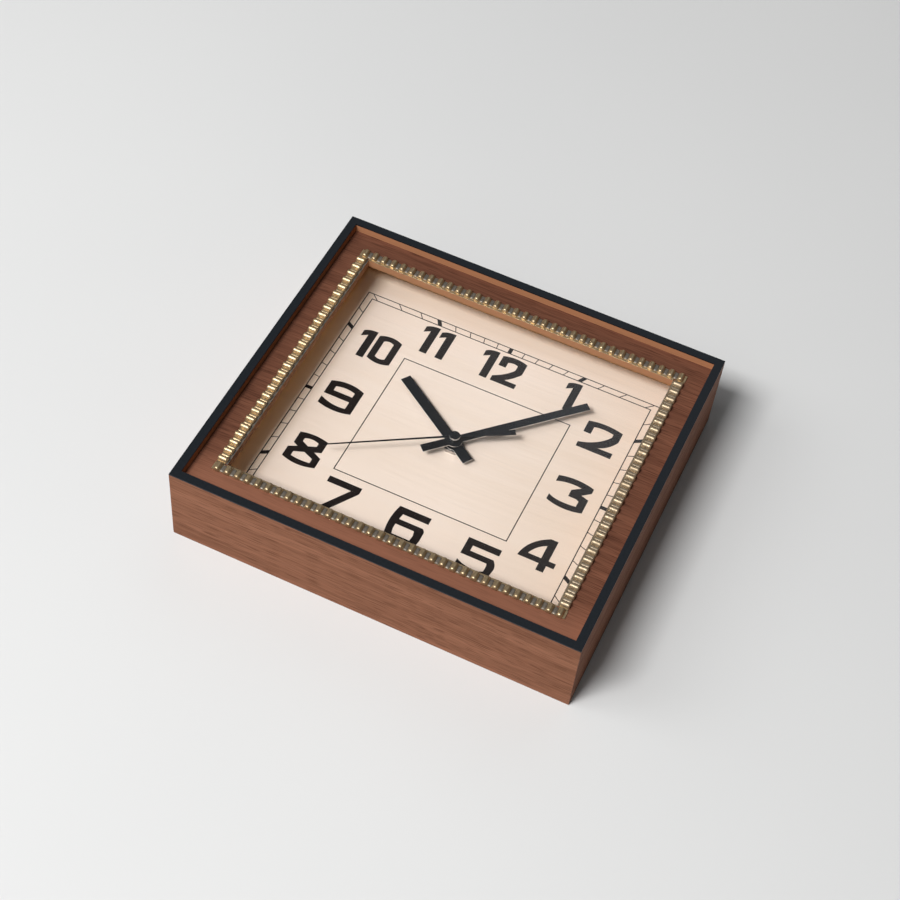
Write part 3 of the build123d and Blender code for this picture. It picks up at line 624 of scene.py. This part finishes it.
dashes = node(stroke_tree, "GeometryNodeRealizeInstances", {"Geometry": dashes}).outputs["Geometry"]
spot = split(stroke_tree, node(stroke_tree, "GeometryNodeInputPosition").outputs["Position"])
smallest = 1e-6
side_way = stroke_sum("SINE", kept.outputs["Angle"])
up_way = stroke_sum("COSINE", kept.outputs["Angle"])
side_size = stroke_sum("MAXIMUM", stroke_sum("ABSOLUTE", side_way), smallest)
up_size = stroke_sum("MAXIMUM", stroke_sum("ABSOLUTE", up_way), smallest)


def track_reach(half_width, half_height):
    """Distance from the middle of the dial to a rectangle, along a stroke."""
    return stroke_sum("MINIMUM", stroke_sum("DIVIDE", half_width, side_size),
                      stroke_sum("DIVIDE", half_height, up_size))


outer_reach = track_reach(track["Outer Half Width"], track["Outer Half Height"])
inner_reach = track_reach(track["Inner Half Width"], track["Inner Half Height"])
stroke_length = stroke_sum("SUBTRACT", outer_reach, inner_reach)
along = stroke_sum("MULTIPLY_ADD", stroke_sum("ADD", spot["Y"], 0.5), stroke_length, inner_reach)
on_ends = stroke_sum("GREATER_THAN", stroke_sum("MULTIPLY", track["Outer Half Width"], up_size),
                     stroke_sum("MULTIPLY", track["Outer Half Height"], side_size))
on_sides = stroke_sum("SUBTRACT", 1.0, on_ends)
thinner = stroke_sum("SUBTRACT", track["Thin Stroke"], track["Bold Stroke"])
stroke_width = stroke_sum("MULTIPLY_ADD", thinner, kept.outputs["Plain"], track["Bold Stroke"])
sidelong = stroke_sum("MULTIPLY", spot["X"], stroke_width)
end_shift = stroke_sum("MULTIPLY", on_ends, stroke_sum("DIVIDE", sidelong, up_size))
side_shift = stroke_sum("MULTIPLY", on_sides, stroke_sum("DIVIDE", sidelong, side_size))
stroke_x = stroke_sum("MULTIPLY_ADD", side_way, along, end_shift)
stroke_y = stroke_sum("MULTIPLY_ADD", up_way, along, side_shift)
stroke_z = stroke_sum("MULTIPLY_ADD", stroke_sum("ADD", spot["Z"], 0.5), track["Ink Depth"], track["Level"])
laid = node(stroke_tree, "GeometryNodeSetPosition", {
    "Geometry": dashes, "Position": vector_of(stroke_tree, stroke_x, stroke_y, stroke_z)})
end_growth(stroke_tree, laid.outputs["Geometry"], ink)
strokes = grown("minute_strokes", stroke_tree, {
    "Outer Half Width": track_outer[0], "Outer Half Height": track_outer[1],
    "Inner Half Width": track_inner[0], "Inner Half Height": track_inner[1], "Thin Stroke": thin_stroke,
    "Bold Stroke": bold_stroke, "Ink Depth": ink_depth, "Level": dial_top, "Strokes": 60, "Bold Every": 5})
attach(strokes, "case")

# Bush and nut
# A turned brass bush comes through the dial from the movement, and a bright hexagon nut on it clamps
# the board.


def metal(name, bright, dull, smooth, rough, stretch):
    """Bare metal with a faint turned or brushed grain."""
    material, tree, place, surface = start_material(name)
    scratch = stretched_noise(tree, place, stretch, 3.0)
    fill(tree, surface, {"Base Color": blended(tree, spread(tree, scratch, 0.3, 0.7), dull, bright),
                         "Roughness": spread(tree, scratch, 0.3, 0.7, smooth, rough), "Metallic": 1.0})
    return material


dress(metal("turned_brass", (0.70, 0.53, 0.25, 1.0), (0.55, 0.40, 0.18, 1.0), 0.22, 0.38,
            (300.0, 300.0, 4000.0)), "threaded_bush")
dress(metal("bright_nickel", (0.44, 0.43, 0.42, 1.0), (0.32, 0.31, 0.30, 1.0), 0.18, 0.28,
            (500.0, 500.0, 3000.0)), "bush_nut", "minute_collet")

# Movement
# A snap-together quartz movement in black moulded plastic, with a fine spark texture, a cell in an
# open bay and a ribbed knob that sets the hands.


def moulded(name, colour, paler, rough, speck):
    """Moulded plastic with a fine even texture."""
    rough_swing = 0.08
    material, tree, place, surface = start_material(name)
    texture = noise(tree, place, speck, 3.0)
    fill(tree, surface, {
        "Base Color": blended(tree, spread(tree, texture, 0.35, 0.65), colour, paler),
        "Roughness": spread(tree, texture, 0.3, 0.7, rough - rough_swing, rough + rough_swing),
        "Normal": bumped(tree, texture, 0.2, 0.00005)})
    return material


dress(moulded("housing_black", (0.014, 0.014, 0.015, 1.0), (0.022, 0.022, 0.024, 1.0), 0.5, 1800.0),
      "movement_front", "movement_rear")
dress(moulded("knob_grey", (0.05, 0.05, 0.054, 1.0), (0.07, 0.07, 0.075, 1.0), 0.42, 2200.0), "setting_knob")
dress(moulded("wheel_ivory", (0.72, 0.70, 0.63, 1.0), (0.80, 0.78, 0.72, 1.0), 0.38, 2600.0), "rotor_pinion",
      "intermediate_wheel", "seconds_wheel", "third_wheel", "centre_wheel", "cannon_pinion", "minute_wheel",
      "hour_wheel")
dress(moulded("board_green", (0.012, 0.075, 0.030, 1.0), (0.020, 0.105, 0.045, 1.0), 0.35, 900.0),
      "circuit_board")
dress(metal("contact_nickel", (0.80, 0.78, 0.73, 1.0), (0.66, 0.64, 0.60, 1.0), 0.2, 0.35,
            (900.0, 200.0, 200.0)), "contact_positive", "contact_negative")
dress(metal("stator_iron", (0.52, 0.52, 0.53, 1.0), (0.40, 0.40, 0.41, 1.0), 0.35, 0.5,
            (200.0, 1500.0, 200.0)), "stator")
dress(metal("sintered_magnet", (0.20, 0.20, 0.21, 1.0), (0.13, 0.13, 0.14, 1.0), 0.4, 0.6,
            (1500.0, 1500.0, 1500.0)), "rotor")
dress(metal("enamelled_copper", (0.62, 0.27, 0.12, 1.0), (0.38, 0.15, 0.06, 1.0), 0.25, 0.4,
            (7000.0, 150.0, 150.0)), "coil")

# Cell
# A plain round cell in a printed steel jacket: dark for most of its length, with a copper-coloured
# shoulder at the nub's end. It snaps into the bay between the contacts.
jacket, jacket_tree, jacket_place, jacket_surface = start_material("cell_jacket")
cell_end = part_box("battery")[1][0]
shoulder_start = cell_end - 0.0135
bare_start = cell_end - 0.0022
print_edge = 0.0002
cell_along = split(jacket_tree, jacket_place)["X"]
shoulder = spread(jacket_tree, cell_along, shoulder_start, shoulder_start + print_edge)
bare_end = spread(jacket_tree, cell_along, bare_start, bare_start + print_edge)
jacket_wear = noise(jacket_tree, jacket_place, 300.0, 3.0)
jacket_colour = blended(jacket_tree, shoulder, (0.020, 0.020, 0.022, 1.0), (0.56, 0.28, 0.12, 1.0))
fill(jacket_tree, jacket_surface, {
    "Base Color": blended(jacket_tree, bare_end, jacket_colour, (0.72, 0.71, 0.68, 1.0)),
    "Metallic": reckon(jacket_tree, "MULTIPLY", shoulder, 0.85),
    "Roughness": spread(jacket_tree, jacket_wear, 0.3, 0.7, 0.24, 0.36)})
dress(jacket, "battery")

# Hands
# Three stamped aluminium hands, pressed on their arbors one above the other. Their flats are matt
# black lacquer. The cut edges of the two broad hands are bare, and of the thin one only the hub's.


def lacquered(name, bare_reach):
    """Matt black lacquer, with cut edges left bare as far out as the reach from the arbor."""
    lacquer_edge = 0.0003
    material, tree, place, surface = start_material(name)
    speckle = noise(tree, place, 1600.0, 2.0)
    facing_up = split(tree, node(tree, "ShaderNodeNewGeometry").outputs["Normal"])["Z"]
    cut_edge = spread(tree, reckon(tree, "ABSOLUTE", facing_up), 0.3, 0.1)
    level_place = node(tree, "ShaderNodeVectorMath", {0: place, 1: (1.0, 1.0, 0.0)}, operation="MULTIPLY")
    from_arbor = node(tree, "ShaderNodeVectorMath", {0: level_place.outputs["Vector"]}, operation="LENGTH")
    within_reach = spread(tree, from_arbor.outputs["Value"], bare_reach + lacquer_edge, bare_reach)
    bare_edge = reckon(tree, "MULTIPLY", cut_edge, within_reach)
    flat_colour = blended(tree, spread(tree, speckle, 0.35, 0.65),
                          (0.0030, 0.0038, 0.0055, 1.0), (0.0055, 0.0064, 0.0084, 1.0))
    fill(tree, surface, {
        "Base Color": blended(tree, bare_edge, flat_colour, (0.60, 0.60, 0.60, 1.0)), "Metallic": bare_edge,
        "Roughness": spread(tree, speckle, 0.3, 0.7, 0.42, 0.54), "Specular IOR Level": 0.12})
    return material


whole_hand = 0.1
hub_reach = 0.0030
dress(lacquered("hand_lacquer", whole_hand), "hour_hand", "minute_hand")
dress(lacquered("second_hand_lacquer", hub_reach), "second_hand")

# Table
# A plain pale surface under the clock. A broad soft light stands in front on the left, with weaker
# ones in front and at the left, and the room is dim apart from a pale patch of ceiling.
tabletop, tabletop_tree, tabletop_place, tabletop_surface = start_material("pale_table")
tabletop_mottle = noise(tabletop_tree, tabletop_place, 3.0, 2.0)
tabletop_colour = blended(tabletop_tree, spread(tabletop_tree, tabletop_mottle, 0.3, 0.7),
                          (0.695, 0.702, 0.706, 1.0), (0.715, 0.722, 0.724, 1.0))
fill(tabletop_tree, tabletop_surface, {"Base Color": tabletop_colour, "Roughness": 0.6})
table_reach = 4.0
table_level = -0.0002
table_corners = [(x * table_reach, y * table_reach, table_level)
                 for x, y in ((-1, -1), (1, -1), (1, 1), (-1, 1))]
table_mesh = bpy.data.meshes.new("table")
table_mesh.from_pydata(table_corners, [], [(0, 1, 2, 3)])
table_mesh.materials.append(tabletop)
table = bpy.data.objects.new("table", table_mesh)
bpy.context.scene.collection.objects.link(table)

clock_middle = (0.0, 0.0, 0.03)


def softbox(name, place, width, height, power, colour):
    """Area light aimed at the clock, with its width along X."""
    light = bpy.data.lights.new(name, "AREA")
    light.shape = "RECTANGLE"
    light.size = width
    light.size_y = height
    light.energy = power
    light.color = colour
    lamp = bpy.data.objects.new(name, light)
    bpy.context.scene.collection.objects.link(lamp)
    back = (Vector(place) - Vector(clock_middle)).normalized()
    across = (Vector((1.0, 0.0, 0.0)) - back.x * back).normalized()
    facing = Matrix((across, back.cross(across), back)).transposed().to_4x4()
    lamp.matrix_world = Matrix.Translation(place) @ facing


lamp_white = (1.0, 0.992, 0.982)
card_blue = (0.90, 0.96, 1.0)
softbox("key_light", (-0.83, -1.67, 2.78), 1.30, 0.83, 106.5, lamp_white)
softbox("front_light", (-0.76, -3.02, 2.52), 2.4, 2.4, 16.0, lamp_white)
softbox("left_light", (-1.70, -0.80, 1.70), 1.2, 1.2, 16.5, lamp_white)
softbox("left_card", (-1.7, 0.0, 0.55), 1.2, 1.2, 3.0, card_blue)
room = bpy.data.worlds.new("bright_room")
room.use_nodes = True
room_tree = room.node_tree
way = node(room_tree, "ShaderNodeTexCoord").outputs["Generated"]


def towards(direction):
    """How far a ray goes along a direction."""
    product = node(room_tree, "ShaderNodeVectorMath", {0: way, 1: direction}, operation="DOT_PRODUCT")
    return product.outputs["Value"]


# A pale patch of ceiling beyond the twelve, which the pane mirrors on its upper right half
room_glow = 0.030
ceiling_glow = 0.50
ceiling_edge = spread(room_tree, towards((0.50, 0.866, 0.0)), 0.355, 0.455)
ceiling_middle = spread(room_tree, towards((0.0, 0.68, 0.73)), 0.88, 0.95)
ceiling_patch = reckon(room_tree, "MULTIPLY", ceiling_edge, ceiling_middle)
fill(room_tree, room_tree.nodes["Background"], {
    "Strength": reckon(room_tree, "MULTIPLY_ADD", ceiling_patch, ceiling_glow, room_glow),
    "Color": blended(room_tree, ceiling_patch, (1.0, 0.95, 0.89, 1.0), (0.93, 0.965, 1.0, 1.0))})
bpy.context.scene.world = room
bpy.context.scene.view_settings.view_transform = "Standard"

# Camera
# Seen from the six's side and a little from the right, about 53 degrees above the table.
lens = bpy.data.cameras.new("photo_view")
lens.lens = 73.7735
lens.sensor_width = 36.0
lens.clip_start = 0.01
eye = bpy.data.objects.new("photo_view", lens)
bpy.context.scene.collection.objects.link(eye)
eye_place = (0.19548189, -0.55022291, 0.78456538)
eye_right = Vector((0.90455603, 0.42067435, 0.06936484))
eye_up = Vector((-0.37387973, 0.7044609, 0.60328168))
eye_turn = Matrix((eye_right, eye_up, eye_right.cross(eye_up))).transposed().to_4x4()
eye.matrix_world = Matrix.Translation(eye_place) @ eye_turn
bpy.context.scene.camera = eye
